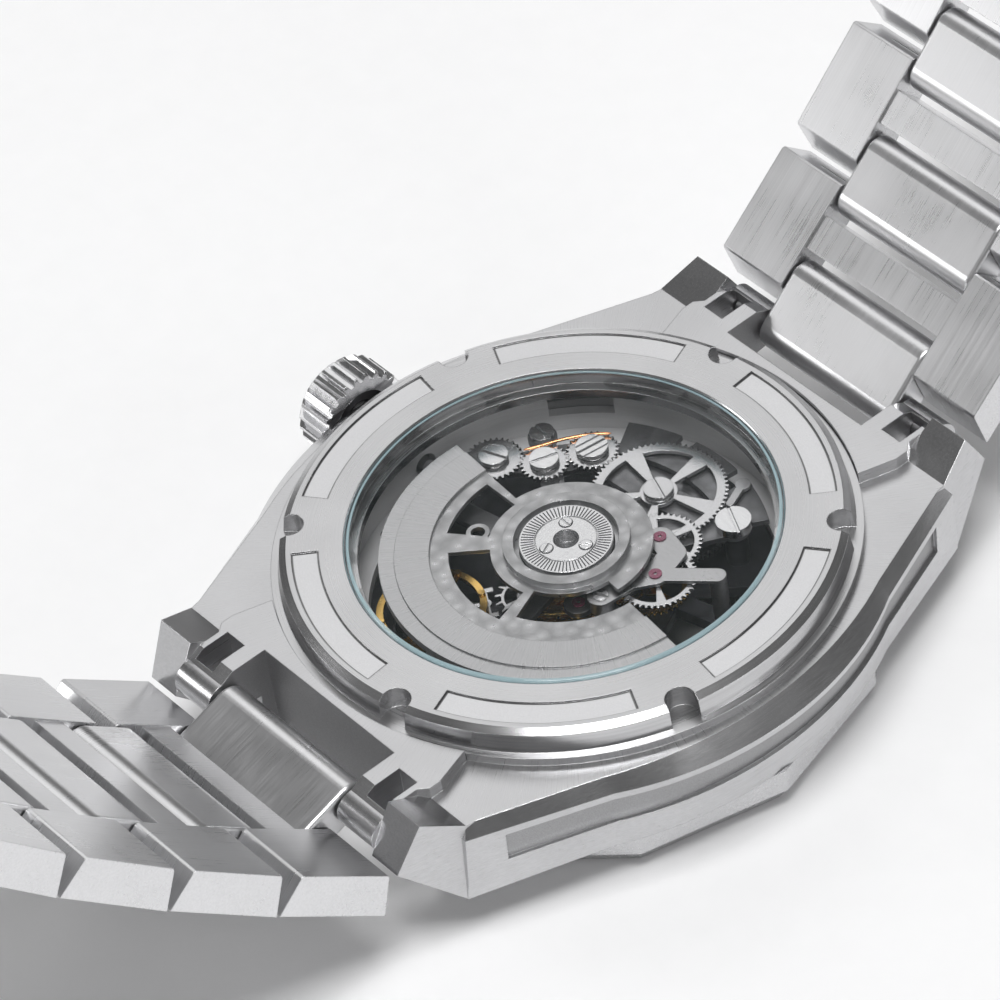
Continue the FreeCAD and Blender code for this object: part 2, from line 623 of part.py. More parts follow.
def balance_wheel():
    x, y = BALANCE_X, BALANCE_Y
    rim = tube(3.5, 3.05, 6.05, 6.35, x, y)
    arms = [spun(block(x - 3.2, x + 3.2, y - 0.2, y + 0.2, 6.1, 6.25), turn, x, y) for turn in (20, 110)]
    roller = disc(0.42, 5.85, 6.0, x, y)
    staff = [disc(0.2, 5.1, 6.85, x, y), disc(PIVOT_RADIUS, PLATE_TOP - 0.4, 7.2, x, y)]
    screws = [disc(0.22, 6.35, 6.5, x + 3.27 * math.cos(a), y + 3.27 * math.sin(a))
              for a in (math.radians(20 + 45 * i) for i in range(8))]
    return joined([rim, roller] + arms + staff + screws)


def hairspring():
    """A flat spiral of half-turn arcs around the balance staff."""
    x, y, low, thick = BALANCE_X, BALANCE_Y, 6.5, 0.06
    radius, pieces = 0.3, [tube(0.36, 0.2, low, low + 0.15, x, y)]
    for half in range(10):
        shift = 0.065 if half % 2 else -0.065
        start = 0 if half % 2 else 180
        pieces.append(sector(radius + thick / 2, radius - thick / 2, low, low + 0.15,
                             start, start + 180.2, x + shift, y))
        radius += 0.13
    return joined(pieces)


# ---- motion work, dial and hands -----------------------------------------

def minute_wheel():
    x, y = MINUTE_WHEEL.centre
    return joined([MINUTE_WHEEL.blank(3.85, 4.0), MINUTE_PINION.blank(3.45, 3.85),
                   disc(PIVOT_RADIUS, 4.0, 4.5, x, y)])


def hour_wheel():
    wheel = HOUR_WHEEL.blank(3.5, 3.62)
    return joined([wheel, disc(0.62, 2.5, 3.5)]).cut(disc(0.4, 2, 4))


def dial_ring():
    ring = tube(14.6, 9.9, 3.0, 3.4)
    markers = [spun(block(10.4, 13.6, -0.35, 0.35, 2.72, 3.0), 30 * i) for i in range(12)]
    return joined([ring] + markers)


def hand(length, tail, width, low, high, bore, boss):
    """A tapered hand pointing to 12, open along its middle."""
    outline = [(-width / 2, -tail), (width / 2, -tail), (width * 0.6, length * 0.75), (0, length),
               (-width * 0.6, length * 0.75)]
    body = joined([prism(outline, low, high), disc(boss, low, high)])
    window = prism([(-width * 0.2, boss + 0.8), (width * 0.2, boss + 0.8), (width * 0.3, length * 0.7),
                    (-width * 0.3, length * 0.7)], low - 1, high + 1)
    return body.cut([window, disc(bore, low - 1, high + 1)])


# ---- automatic work and rotor --------------------------------------------

def reverser_wheel():
    low, high = AUTO_LOW, AUTO_TOP
    wheel = spoked(REVERSER, low, high, 5, 0.3, 0.9, 0.45, 10)
    bore = disc(0.24, low - 1, high + 1, *REVERSER.centre)
    return joined([wheel, REVERSER_PINION.blank(high, 8.62)]).cut(bore)


def reduction_wheel():
    wheel = spoked(REDUCTION, 8.47, 8.6, 5, 0.3, 0.6, 0.4, 40)
    return wheel.cut(disc(0.24, 8, 9, *REDUCTION.centre))


def rotor_plate():
    low, high = ROTOR_PLATE_LOW, ROTOR_PLATE_TOP
    body = joined([disc(HUB_RADIUS, low, high), sector(WEIGHT_INNER, 1, low, high, *ROTOR_SPAN),
                   disc(4.0, low, 10.0), disc(3.12, AUTO_TOP, low), ROTOR_GEAR.blank(AUTO_LOW, AUTO_TOP)])
    windows = [sector(outer, inner, low - 0.01, high + 1, start, end)
               for outer, inner, start, end in ROTOR_WINDOWS]
    eye = tube(0.75, 0.45, low, high, 5.8 * math.cos(math.radians(213)), 5.8 * math.sin(math.radians(213)))
    body = joined([body.cut(windows), eye])
    return body.cut([disc(BEARING_RADIUS + 0.05, 0, high - 0.15), disc(3.3, high - 0.15, 11)])


def rotor_weight():
    body = sector(WEIGHT_OUTER, WEIGHT_INNER, WEIGHT_LOW, WEIGHT_TOP, *ROTOR_SPAN)
    return body.cut(tube(14, 10.8, WEIGHT_TOP - 0.12, 12))


def rotor_bearing():
    top = 9.9
    core = joined([disc(1.8, BRIDGE_TOP, 8.75), disc(BEARING_RADIUS, 8.75, top)])
    core = core.cut([disc(0.75, 8.9, 11), tube(2.0, 1.92, top - 0.08, 11)])
    screws = []
    for turn in (-100, 20, 140):
        x, y = 1.42 * math.cos(math.radians(turn)), 1.42 * math.sin(math.radians(turn))
        screws.append(slotted_screw(x, y, 0.4, top, top + 0.08, 35 + turn, 0.12))
    return [core] + screws


# ---- bracelet ------------------------------------------------------------

def outer_link():
    """An H-shaped link in its own frame: Y along the arm, Z to the wrist, first pivot at the origin."""
    low, high, end = OUTER_SIDE, WRIST_SIDE, OUTER_LINK
    side = [(-2.22, low), (end + 0.9, low), (end + 0.45, high - 0.15), (end + 0.3, high), (-1.0, high),
            (-1.15, high - 0.15)]
    cheek = side_prism(side, INNER_HALF, OUTER_HALF)
    cross = side_prism([(1.8, -1.2), (4.2, -1.2), (4.2, 1.2), (1.8, 1.2)], -INNER_HALF, INNER_HALF)
    body = joined([cheek, mirrored(cheek, V(1, 0, 0)), cross])
    bores = []
    for y in (0, end):
        bore = rod_x(PIN_BORE, INNER_HALF - 1, PIN_HALF + 0.1, y, 0)
        bores += [bore, mirrored(bore, V(1, 0, 0))]
    return [body.cut(bores)]


def centre_link(spacing):
    """A centre link with its two pins, first pivot at the origin."""
    radius, half = CENTRE_LINK_HALF_THICK, CENTRE_HALF
    body = joined([rod_x(radius, -half, half, 0, 0), rod_x(radius, -half, half, spacing, 0),
                   block(-half, half, 0, spacing, -radius, radius)])
    rim = [e for e in body.Edges if abs(abs(e.CenterOfMass.x) - half) < 1e-6]
    body = body.makeFillet(0.3, rim)
    pins = [rod_x(PIN_RADIUS, -PIN_HALF, PIN_HALF, y, 0) for y in (0, spacing)]
    return [body.cut(pins)] + pins


def clasp_cover():
    """The clasp's cover: a channel whose barrel takes the last pivot of the lower arm."""
    length, half, floor = CLASP_LENGTH, CLASP_HALF, OUTER_SIDE
    plate = block(-half, half, 1.5, length, floor, floor + 0.9)
    walls = [block(side * half - 0.4 - side * 0.4, side * half + 0.4 - side * 0.4, 3.2, length, floor, 1.3)
             for side in (-1, 1)]
    neck = block(-CENTRE_HALF, CENTRE_HALF, 0, 3.2, -1.3, -0.2)
    barrel_end = rod_x(1.3, -CENTRE_HALF, CENTRE_HALF, 0, 0)
    body = joined([plate, neck, barrel_end] + walls)
    pin = rod_x(PIN_RADIUS, -PIN_HALF, PIN_HALF, 0, 0)
    bore = rod_x(0.55, -half - 1, half + 1, length - 1.6, BLADE_PIVOT_Z)
    return [body.cut([pin, bore]), pin]


def clasp_blade():
    """The folding blade, closed inside the cover."""
    pivot_y, pivot_z, half = CLASP_LENGTH - 1.6, BLADE_PIVOT_Z, CLASP_HALF - 1.2
    strip = block(-half, half, 5.0, pivot_y, pivot_z - 0.45, pivot_z + 0.35)
    eye = rod_x(0.8, -half, half, pivot_y, pivot_z)
    hook = rod_x(0.8, -CENTRE_HALF, CENTRE_HALF, 5.0, pivot_z)
    slot = block(-2.2, 2.2, 8.0, pivot_y - 4.0, pivot_z - 2, pivot_z + 2)
    axle = rod_x(0.5, -CLASP_HALF, CLASP_HALF, pivot_y, pivot_z)
    return [joined([strip, eye, hook]).cut([slot, axle]), axle]


def placed(solids, pivot, angle, arm):
    """Turn link solids about X, move them to their pivot, and mirror them for the lower arm."""
    result = []
    for solid in solids:
        copy = solid.copy()
        copy.rotate(V(0, 0, 0), ALONG_X, angle)
        copy.translate(V(0, *pivot))
        result.append(copy if arm == "upper" else mirrored(copy, V(0, 1, 0)))
    return result


def arm_places(first_angle):
    """Pivot and angle of each link along one arm, case end first, then of what follows."""
    pivot, places = (END_PIVOT_Y, END_PIVOT_Z), []
    for index in range(2 * PITCHES + 1):
        length = OUTER_LINK if index % 2 else CENTRE_LINK
        angle = FIRST_ANGLE + (index - 1) * ANGLE_STEP
        if index == 0:
            length, angle = END_LINK, first_angle
        places.append((pivot, angle))
        reach = math.radians(angle)
        pivot = (pivot[0] + length * math.cos(reach), pivot[1] + length * math.sin(reach))
    return places


def save_arm(arm, first_angle):
    places = arm_places(first_angle)
    for index in range(2 * PITCHES):
        number = index // 2 + 1
        if index % 2:
            name, solids = "outer_link", outer_link()
        else:
            name, solids = "centre_link", centre_link(CENTRE_LINK if index else END_LINK)
        save(f"{arm}_{name}_{number}", *placed(solids, *places[index], arm))
    if arm == "lower":
        save("clasp_cover", *placed(clasp_cover(), *places[-1], arm))
        save("clasp_blade", *placed(clasp_blade(), *places[-1], arm))


def main():
    os.makedirs("parts", exist_ok=True)
    singles = [bezel, front_crystal, caseback_ring, caseback_crystal, movement_ring, crown,
               crown_gasket, winding_stem, main_plate, train_bridge, automatic_bridge, balance_cock,
               ratchet_wheel, winding_pinion, click, barrel, second_wheel, centre_wheel, third_wheel,
               fourth_wheel, escape_wheel, pallet_fork, balance_wheel, hairspring, minute_wheel,
               hour_wheel, dial_ring, reverser_wheel, reduction_wheel, rotor_plate, rotor_weight]
    for make in singles:
        save(make.__name__, make())
    for make in (case_middle, seals, jewels, bridge_screws, rotor_bearing):
        save(make.__name__, *make())
    for name, gear in (("crown_wheel", CROWN_WHEEL), ("winding_wheel_1", WINDING_1),
                       ("winding_wheel_2", WINDING_2)):
        save(name, winding_wheel(gear))
    save("hour_hand", hand(8.8, 0.0, 1.6, 2.55, 2.7, 0.62, 1.1))
    save("minute_hand", hand(12.6, 0.0, 1.4, 2.2, 2.35, 0.34, 0.9))
    save("seconds_hand", hand(13.2, 3.6, 0.4, 1.88, 2.0, 0.17, 0.55))
    save_arm("upper", UPPER_FIRST_ANGLE)
    save_arm("lower", LOWER_FIRST_ANGLE)


main()
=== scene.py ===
import math

import bmesh
import bpy
from mathutils import Matrix, Vector


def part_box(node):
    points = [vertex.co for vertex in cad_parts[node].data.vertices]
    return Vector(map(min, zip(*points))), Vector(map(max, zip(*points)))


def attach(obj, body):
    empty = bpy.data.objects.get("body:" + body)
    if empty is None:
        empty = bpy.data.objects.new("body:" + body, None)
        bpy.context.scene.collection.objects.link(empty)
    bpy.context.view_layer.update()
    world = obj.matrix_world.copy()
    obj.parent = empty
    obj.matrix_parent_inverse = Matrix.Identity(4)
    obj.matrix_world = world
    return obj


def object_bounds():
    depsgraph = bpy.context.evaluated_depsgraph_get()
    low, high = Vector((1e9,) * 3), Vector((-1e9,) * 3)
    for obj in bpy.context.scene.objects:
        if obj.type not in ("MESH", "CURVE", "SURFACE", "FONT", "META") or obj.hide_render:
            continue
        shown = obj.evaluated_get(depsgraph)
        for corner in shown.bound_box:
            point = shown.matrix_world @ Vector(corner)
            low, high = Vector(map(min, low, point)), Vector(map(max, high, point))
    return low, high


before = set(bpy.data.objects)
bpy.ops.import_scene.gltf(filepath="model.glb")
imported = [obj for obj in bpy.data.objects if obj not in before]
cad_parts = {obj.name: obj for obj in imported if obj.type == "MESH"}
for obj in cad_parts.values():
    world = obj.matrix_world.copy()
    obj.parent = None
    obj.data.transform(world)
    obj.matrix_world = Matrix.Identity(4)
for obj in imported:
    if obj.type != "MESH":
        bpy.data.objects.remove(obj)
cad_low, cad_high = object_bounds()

MM = 0.001

# Camera, solved for the viewing angle on the caseback
CAMERA_PLACE = (0.2319, -0.1572, 0.2846)
CAMERA_TURN = (45.58, 7.09, 49.71)
CAMERA_LENS = 228.2
SENSOR = 36.0

# Frosted segments of the caseback ring: six to a turn, as a share of one sixth and as half an angle
SEGMENT_TURN = 0.5 - 13.3 / 60.0
SEGMENT_HALF = math.radians(21.5)
SEGMENT_FLOOR_Z = (11.1 * MM, 11.28 * MM)
SEGMENT_FACE_R = (15.38 * MM, 16.89 * MM)
# Radii of the painted shadow line on the ring's floor round each frosted segment
SEGMENT_SHADE_LINE_R = (15.22 * MM, 17.06 * MM)
SEGMENT_END = (0.1 * MM, 0.16 * MM)

# Blasted areas of the case: flank panels and bracelet pockets
PANEL_END_Y, PANEL_MIN_X = 17.55 * MM, 13.6 * MM
PANEL_Z = (5.5 * MM, 7.75 * MM)
POCKET_HALF_X, POCKET_FLOOR_Y = 6.31 * MM, 19.07 * MM

# Height that parts the hour markers from the face of the dial ring
MARKER_Z = (2.85 * MM, 2.9 * MM)

FLOOR_HALF = 3.0
FLOOR_GAP = 0.02 * MM
WORLD_LEVEL = 0.16
LIGHT_AIM = (0.0, 0.0, 0.01)
# Name, place, width and power of each lamp
LAMPS = [
    ("overhead", (-0.46, 0.30, 0.62), 0.42, 0.62),
    ("zenith", (0.16, -0.10, 0.95), 0.45, 7.4),
    ("right_fill", (0.8, 0.25, 0.3), 0.35, 1.2),
    ("left_rim", (-0.55, -0.5, 0.28), 0.25, 0.9),
]

# Share of a noise node's output that the finishes use
NOISE_LOW, NOISE_HIGH = 0.3, 0.7

BACK_CRYSTAL_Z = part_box("caseback_crystal")[1][2]
BACK_CRYSTAL_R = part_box("caseback_crystal")[1][0]
BEARING_TOP_Z = 9.9 * MM
BEARING_SCREW_REACH = 1.42 * MM
BEARING_SCREW_TURNS = (-100, 20, 140)


# ---- node helpers ----------------------------------------------------------

class Finish:
    """A node material with short helpers for procedural grain."""

    def __init__(self, name, metallic=1.0):
        self.material = bpy.data.materials.new(name)
        self.material.use_nodes = True
        self.tree = self.material.node_tree
        self.shader = self.tree.nodes["Principled BSDF"]
        self.shader.inputs["Metallic"].default_value = metallic
        coords = self.tree.nodes.new("ShaderNodeTexCoord")
        self.place = coords.outputs["Object"]
        self.normal = coords.outputs["Normal"]

    def link(self, source, target):
        self.tree.links.new(source, target)

    def math(self, kind, a, b=None):
        node = self.tree.nodes.new("ShaderNodeMath")
        node.operation = kind
        for socket, value in zip(node.inputs, (a, b)):
            if value is None:
                continue
            if isinstance(value, (int, float)):
                socket.default_value = value
            else:
                self.link(value, socket)
        return node.outputs[0]

    def times(self, a, b):
        return self.math("MULTIPLY", a, b)

    def split(self, vector):
        node = self.tree.nodes.new("ShaderNodeSeparateXYZ")
        self.link(vector, node.inputs[0])
        return node.outputs

    def join(self, x, y, z):
        node = self.tree.nodes.new("ShaderNodeCombineXYZ")
        for socket, value in zip(node.inputs, (x, y, z)):
            if isinstance(value, (int, float)):
                socket.default_value = value
            else:
                self.link(value, socket)
        return node.outputs[0]

    def scaled(self, vector, scale):
        node = self.tree.nodes.new("ShaderNodeVectorMath")
        node.operation = "MULTIPLY"
        self.link(vector, node.inputs[0])
        node.inputs[1].default_value = scale
        return node.outputs[0]

    def noise(self, vector, scale=1.0, detail=4.0, rough=0.6):
        node = self.tree.nodes.new("ShaderNodeTexNoise")
        node.inputs["Scale"].default_value = scale
        node.inputs["Detail"].default_value = detail
        node.inputs["Roughness"].default_value = rough
        self.link(vector, node.inputs["Vector"])
        return node.outputs["Fac"]

    def voronoi(self, vector, scale):
        node = self.tree.nodes.new("ShaderNodeTexVoronoi")
        node.inputs["Scale"].default_value = scale
        self.link(vector, node.inputs["Vector"])
        return node.outputs["Distance"]

    def remap(self, value, low, high, to_low, to_high):
        node = self.tree.nodes.new("ShaderNodeMapRange")
        self.link(value, node.inputs[0])
        for socket, number in zip(node.inputs[1:5], (low, high, to_low, to_high)):
            socket.default_value = number
        return node.outputs[0]

    def spread(self, noise, to_low, to_high):
        """Stretch a noise value over a range."""
        return self.remap(noise, NOISE_LOW, NOISE_HIGH, to_low, to_high)

    def tone(self, lines, low, high, smudge, dark, light):
        """Brightness from the grain, with broad smudges on top."""
        return self.math("ADD", self.spread(lines, low, high), self.spread(smudge, dark, light))

    def facing_up(self, start, full):
        """1 on faces that look along +Z, 0 on the rest."""
        return self.remap(self.split(self.normal)[2], start, full, 0.0, 1.0)

    def mix(self, factor, a, b):
        """Blend two numbers."""
        node = self.tree.nodes.new("ShaderNodeMix")
        node.data_type = "FLOAT"
        for socket, value in zip((node.inputs[0], node.inputs[2], node.inputs[3]), (factor, a, b)):
            if isinstance(value, (int, float)):
                socket.default_value = value
            else:
                self.link(value, socket)
        return node.outputs[0]

    def band(self, value, low, high, soft):
        """1 where a value lies between two limits, 0 outside."""
        up = self.remap(value, low - soft, low + soft, 0.0, 1.0)
        down = self.remap(value, high - soft, high + soft, 1.0, 0.0)
        return self.times(up, down)

    def polar(self, centre=(0.0, 0.0)):
        """Radius and angle about a vertical axis."""
        x, y, z = self.split(self.place)
        dx = self.math("SUBTRACT", x, centre[0])
        dy = self.math("SUBTRACT", y, centre[1])
        radius = self.math("SQRT", self.math("ADD", self.times(dx, dx), self.times(dy, dy)))
        return radius, self.math("ARCTAN2", dy, dx), z

    def colour(self, tint, value):
        """Tint the base colour by a varying brightness."""
        red, green, blue = (self.times(value, channel) for channel in tint)
        self.link(self.join(red, green, blue), self.shader.inputs["Base Color"])

    def rough(self, value):
        self.link(value, self.shader.inputs["Roughness"])

    def bump(self, height, depth_mm, edge_mm=0.06):
        node = self.tree.nodes.new("ShaderNodeBump")
        node.inputs["Distance"].default_value = depth_mm * MM
        node.inputs["Strength"].default_value = 1.0
        self.link(height, node.inputs["Height"])
        if edge_mm:
            soft = self.tree.nodes.new("ShaderNodeBevel")
            soft.samples = 4
            soft.inputs["Radius"].default_value = edge_mm * MM
            self.link(soft.outputs[0], node.inputs["Normal"])
        self.link(node.outputs[0], self.shader.inputs["Normal"])


def wear(finish):
    """Broad smudges that vary a metal's shine."""
    return finish.noise(finish.place, 180.0, 3.0, 0.5)


def brushed(name, tint, grain, rough=(0.22, 0.38), depth=0.004, contrast=0.16):
    """Metal brushed along the axis where the grain scale is small."""
    f = Finish(name)
    lines = f.noise(f.scaled(f.place, grain), 1.0, 5.0, 0.7)
    smudge = wear(f)
    f.colour(tint, f.tone(lines, 1.0 - contrast, 1.0, smudge, -0.04, 0.02))
    f.rough(f.math("ADD", f.spread(lines, *rough), f.spread(smudge, -0.03, 0.05)))
    f.bump(lines, depth)
    return f.material


def circular(f, centre, across, along):
    """Grain that runs round an axis: fine across the radius, long around it."""
    radius, angle, height = f.polar(centre)
    grain = f.join(f.times(radius, across), f.times(angle, along), f.times(height, across))
    return f.noise(grain, 1.0, 4.0, 0.65)


def turned(name, tint, centre=(0.0, 0.0), rough=(0.16, 0.3), contrast=0.14, depth=0.003):
    """Metal with circular graining."""
    f = Finish(name)
    lines = circular(f, centre, 9000.0, 2.5)
    smudge = wear(f)
    f.colour(tint, f.tone(lines, 1.0 - contrast, 1.0, smudge, -0.04, 0.03))
    f.rough(f.spread(lines, *rough))
    f.bump(lines, depth)
    return f.material


STEEL = (0.63, 0.63, 0.64)
BRIGHT_STEEL = (0.75, 0.75, 0.76)
DARK_STEEL = (0.30, 0.30, 0.31)


def case_steel():
    """Brushed backs, satin bevels and blasted flank panels and pockets."""
    f = Finish("case_steel_finish")
    x, y, z = f.split(f.place)
    across, along_arm = f.math("ABSOLUTE", x), f.math("ABSOLUTE", y)
    back = f.facing_up(0.93, 0.97)
    wall = f.remap(f.math("ABSOLUTE", f.split(f.normal)[2]), 0.25, 0.32, 1.0, 0.0)
    radial = circular(f, (0.0, 0.0), 500.0, 520.0)
    along = f.noise(f.scaled(f.place, (6000.0, 200.0, 12000.0)), 1.0, 4.0, 0.6)
    lines = f.mix(back, along, radial)
    grit = f.noise(f.place, 14000.0, 2.0, 0.6)
    panel = f.times(f.band(along_arm, -PANEL_END_Y, PANEL_END_Y, 0.04 * MM), f.band(z, *PANEL_Z, 0.03 * MM))
    outside = f.remap(across, PANEL_MIN_X - 0.1 * MM, PANEL_MIN_X + 0.1 * MM, 0.0, 1.0)
    panel = f.times(f.times(panel, outside), wall)
    pocket = f.times(f.band(x, -POCKET_HALF_X, POCKET_HALF_X, 0.02 * MM),
                     f.remap(along_arm, POCKET_FLOOR_Y - 0.02 * MM, POCKET_FLOOR_Y + 0.02 * MM, 0.0, 1.0))
    blasted = f.math("MAXIMUM", panel, pocket)
    smudge = wear(f)
    tone = f.tone(lines, 0.84, 1.0, smudge, -0.05, 0.03)
    tone = f.mix(blasted, tone, f.spread(grit, 0.50, 0.72))
    f.colour(STEEL, tone)
    bevel = f.math("SUBTRACT", 1.0, f.math("MAXIMUM", back, wall))
    rough = f.mix(bevel, f.spread(lines, 0.26, 0.38), f.spread(smudge, 0.20, 0.28))
    f.rough(f.mix(blasted, rough, f.spread(grit, 0.42, 0.58)))
    f.bump(f.mix(blasted, lines, grit), 0.0012, 0.08)
    return f.material


def ring_steel():
    """Caseback ring: circular brushing, with light frosted segments and a painted shadow line round them.
    """
    f = Finish("caseback_ring_finish")
    radius, angle, z = f.polar()
    lines = circular(f, (0.0, 0.0), 7000.0, 1.5)
    grit = f.noise(f.place, 15000.0, 2.0, 0.6)
    flat = f.facing_up(0.9, 0.95)
    floor = f.times(flat, f.band(z, *SEGMENT_FLOOR_Z, 0.03 * MM))
    turns = f.math("FRACT", f.math("ADD", f.times(angle, 3 / math.pi), SEGMENT_TURN))
    off_middle = f.times(f.math("ABSOLUTE", f.math("SUBTRACT", turns, 0.5)), math.pi / 3)
    to_end = f.times(f.math("SUBTRACT", SEGMENT_HALF, off_middle), radius)
    inside = f.times(f.band(radius, *SEGMENT_FACE_R, 0.03 * MM), f.remap(to_end, *SEGMENT_END, 0.0, 1.0))
    segment = f.times(floor, inside)
    # Painted shadow: a dark line on the floor just round each frosted segment, where its recess wall throws
    # shade
    groove_shade = f.times(f.band(radius, *SEGMENT_SHADE_LINE_R, 0.01 * MM), f.math("SUBTRACT", floor, segment))
    smudge = wear(f)
    tone = f.tone(lines, 0.66, 0.82, smudge, -0.04, 0.03)
    tone = f.mix(segment, tone, f.spread(grit, 1.04, 1.16))
    # The painted shadow line takes a dark colour here
    f.colour(BRIGHT_STEEL, f.mix(groove_shade, tone, 0.22))
    rough = f.mix(flat, f.spread(smudge, 0.16, 0.26), f.spread(lines, 0.24, 0.36))
    f.rough(f.mix(segment, rough, f.spread(grit, 0.5, 0.62)))
    f.bump(f.mix(segment, lines, grit), 0.002, 0.06)
    return f.material


def link_steel():
    """Outer links: brushed along the arm, with finer grain on the sides."""
    f = Finish("outer_link_finish")
    side = f.remap(f.math("ABSOLUTE", f.split(f.normal)[0]), 0.9, 0.95, 0.0, 1.0)
    top = f.noise(f.scaled(f.place, (14000.0, 120.0, 120.0)), 1.0, 4.0, 0.6)
    flank = f.noise(f.scaled(f.place, (200.0, 6000.0, 6000.0)), 1.0, 3.0, 0.6)
    lines = f.mix(side, top, flank)
    smudge = wear(f)
    f.colour(BRIGHT_STEEL, f.tone(lines, 0.90, 1.0, smudge, -0.04, 0.03))
    f.rough(f.math("ADD", f.spread(lines, 0.26, 0.36), f.spread(smudge, -0.03, 0.04)))
    f.bump(lines, 0.0012, 0.12)
    return f.material


def rotor_weight_steel():
    """Half-ring weight with grain fanning out from the centre."""
    f = Finish("rotor_weight_finish")
    radius, angle = f.polar()[:2]
    fan = f.noise(f.join(f.times(radius, 250.0), f.times(angle, 90.0), 0.0), 1.0, 5.0, 0.7)
    smudge = wear(f)
    f.colour(STEEL, f.tone(fan, 0.72, 0.98, smudge, -0.04, 0.02))
    f.rough(f.spread(fan, 0.24, 0.4))
    f.bump(fan, 0.004)
    return f.material


def perlage(name, tint, rough=(0.28, 0.46)):
    """Overlapping round spots of circular grain, as on movement plates."""
    f = Finish(name)
    spots = f.voronoi(f.place, 1100.0)
    rings = f.math("SINE", f.times(spots, 60.0))
    shade = f.math("ADD", f.remap(spots, 0.0, 0.8, 1.0, 0.72), f.times(rings, 0.03))
    smudge = wear(f)
    f.colour(tint, f.math("ADD", shade, f.spread(smudge, -0.08, 0.04)))
    f.rough(f.remap(spots, 0.0, 0.8, *rough))
    f.bump(rings, 0.002, 0.05)
    return f.material


def holder_grey():
    """Satin grey ring, painted, so it stays light inside the case."""
    f = Finish("holder_finish", 0.15)
    grain = f.noise(f.scaled(f.place, (300.0, 300.0, 9000.0)), 1.0, 4.0, 0.6)
    f.colour((0.80, 0.80, 0.81), f.spread(grain, 0.88, 1.0))
    f.rough(f.spread(grain, 0.34, 0.48))
    f.bump(grain, 0.002, 0.05)
    return f.material


def mark_fill_and_gap_shade():
    """Dark matt filling of the engraved marks round the bearing disc, and painted shade in the gaps round
    the bearing screws.
    """
    f = Finish("oxide_finish", 0.0)
    grit = f.noise(f.place, 12000.0, 2.0, 0.6)
    f.colour((0.06, 0.06, 0.065), f.spread(grit, 0.7, 1.2))
    f.rough(f.spread(grit, 0.5, 0.7))
    f.bump(grit, 0.002, 0.0)
    return f.material


def gilt():
    f = Finish("gilt_finish")
    grain = f.noise(f.scaled(f.place, (3000.0, 3000.0, 3000.0)), 1.0, 3.0, 0.6)
    f.colour((0.95, 0.62, 0.20), f.spread(grain, 0.86, 1.0))
    f.rough(f.spread(grain, 0.16, 0.3))
    f.bump(grain, 0.002, 0.04)
    return f.material


def copper():
    f = Finish("copper_finish")
    grain = f.noise(f.scaled(f.place, (800.0, 6000.0, 6000.0)), 1.0, 3.0, 0.6)
    f.colour((0.90, 0.42, 0.20), f.spread(grain, 0.8, 1.0))
    f.rough(f.spread(grain, 0.2, 0.34))
    f.bump(grain, 0.002, 0.03)
    return f.material


def sapphire(name, tint, alpha):
    f = Finish(name, 0.0)
    haze = f.noise(f.place, 90.0, 2.0, 0.5)
    f.colour(tint, f.spread(haze, 0.96, 1.0))
    f.rough(f.spread(haze, 0.02, 0.05))
    f.shader.inputs["Alpha"].default_value = alpha
    f.shader.inputs["IOR"].default_value = 1.6
    return f.material


def ruby():
    f = Finish("ruby_finish", 0.0)
    cloud = f.noise(f.place, 2500.0, 2.0, 0.5)
    f.colour((0.24, 0.03, 0.09), f.spread(cloud, 0.75, 1.0))
    f.rough(f.spread(cloud, 0.05, 0.12))
    f.shader.inputs["Coat Weight"].default_value = 0.6
    return f.material


def rubber():
    f = Finish("rubber_finish", 0.0)
    grit = f.noise(f.place, 9000.0, 3.0, 0.6)
    f.colour((0.03, 0.03, 0.032), f.spread(grit, 0.8, 1.2))
    f.rough(f.spread(grit, 0.5, 0.7))
    f.bump(grit, 0.01, 0.0)
    return f.material


def dial_black():
    f = Finish("dial_finish", 0.4)
    radius, angle, z = f.polar()
    rays = f.noise(f.join(f.times(radius, 60.0), f.times(angle, 120.0), 0.0), 1.0, 3.0, 0.6)
    marker = f.remap(z, *MARKER_Z, 1.0, 0.0)
    f.colour((1.0, 1.0, 1.02), f.mix(marker, f.spread(rays, 0.03, 0.07), f.spread(rays, 0.7, 0.8)))
    f.rough(f.spread(rays, 0.25, 0.4))
    f.bump(rays, 0.002, 0.04)
    return f.material


def floor_paper():
    f = Finish("floor_finish", 0.0)
    fibre = f.noise(f.place, 400.0, 4.0, 0.6)
    f.colour((0.93, 0.93, 0.935), f.spread(fibre, 0.985, 1.0))
    f.rough(f.spread(fibre, 0.7, 0.8))
    return f.material


# ---- detail pieces ---------------------------------------------------------

def new_piece(name, mesh_maker, material, body):
    mesh = bpy.data.meshes.new(name)
    made = bmesh.new()
    mesh_maker(made)
    bmesh.ops.recalc_face_normals(made, faces=made.faces)
    made.to_mesh(mesh)
    made.free()
    piece = bpy.data.objects.new(name, mesh)
    bpy.context.scene.collection.objects.link(piece)
    mesh.materials.append(material)
    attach(piece, body)
    return piece


def add_box(made, size, matrix):
    bmesh.ops.create_cube(made, size=1.0, matrix=matrix @ Matrix.Diagonal((*size, 1.0)))


def bearing_ticks(material, count=72, inner=2.04 * MM, outer=2.84 * MM, width=0.07 * MM, height=0.015 * MM):
    """Fine radial marks round the bearing disc."""
    def build(made):
        for index in range(count):
            turn = Matrix.Rotation(index * 2 * math.pi / count, 4, "Z")
            centre = Matrix.Translation(((inner + outer) / 2, 0, BEARING_TOP_Z + height / 2))
            add_box(made, (outer - inner, width, height), turn @ centre)
    return new_piece("bearing_ticks", build, material, "case")


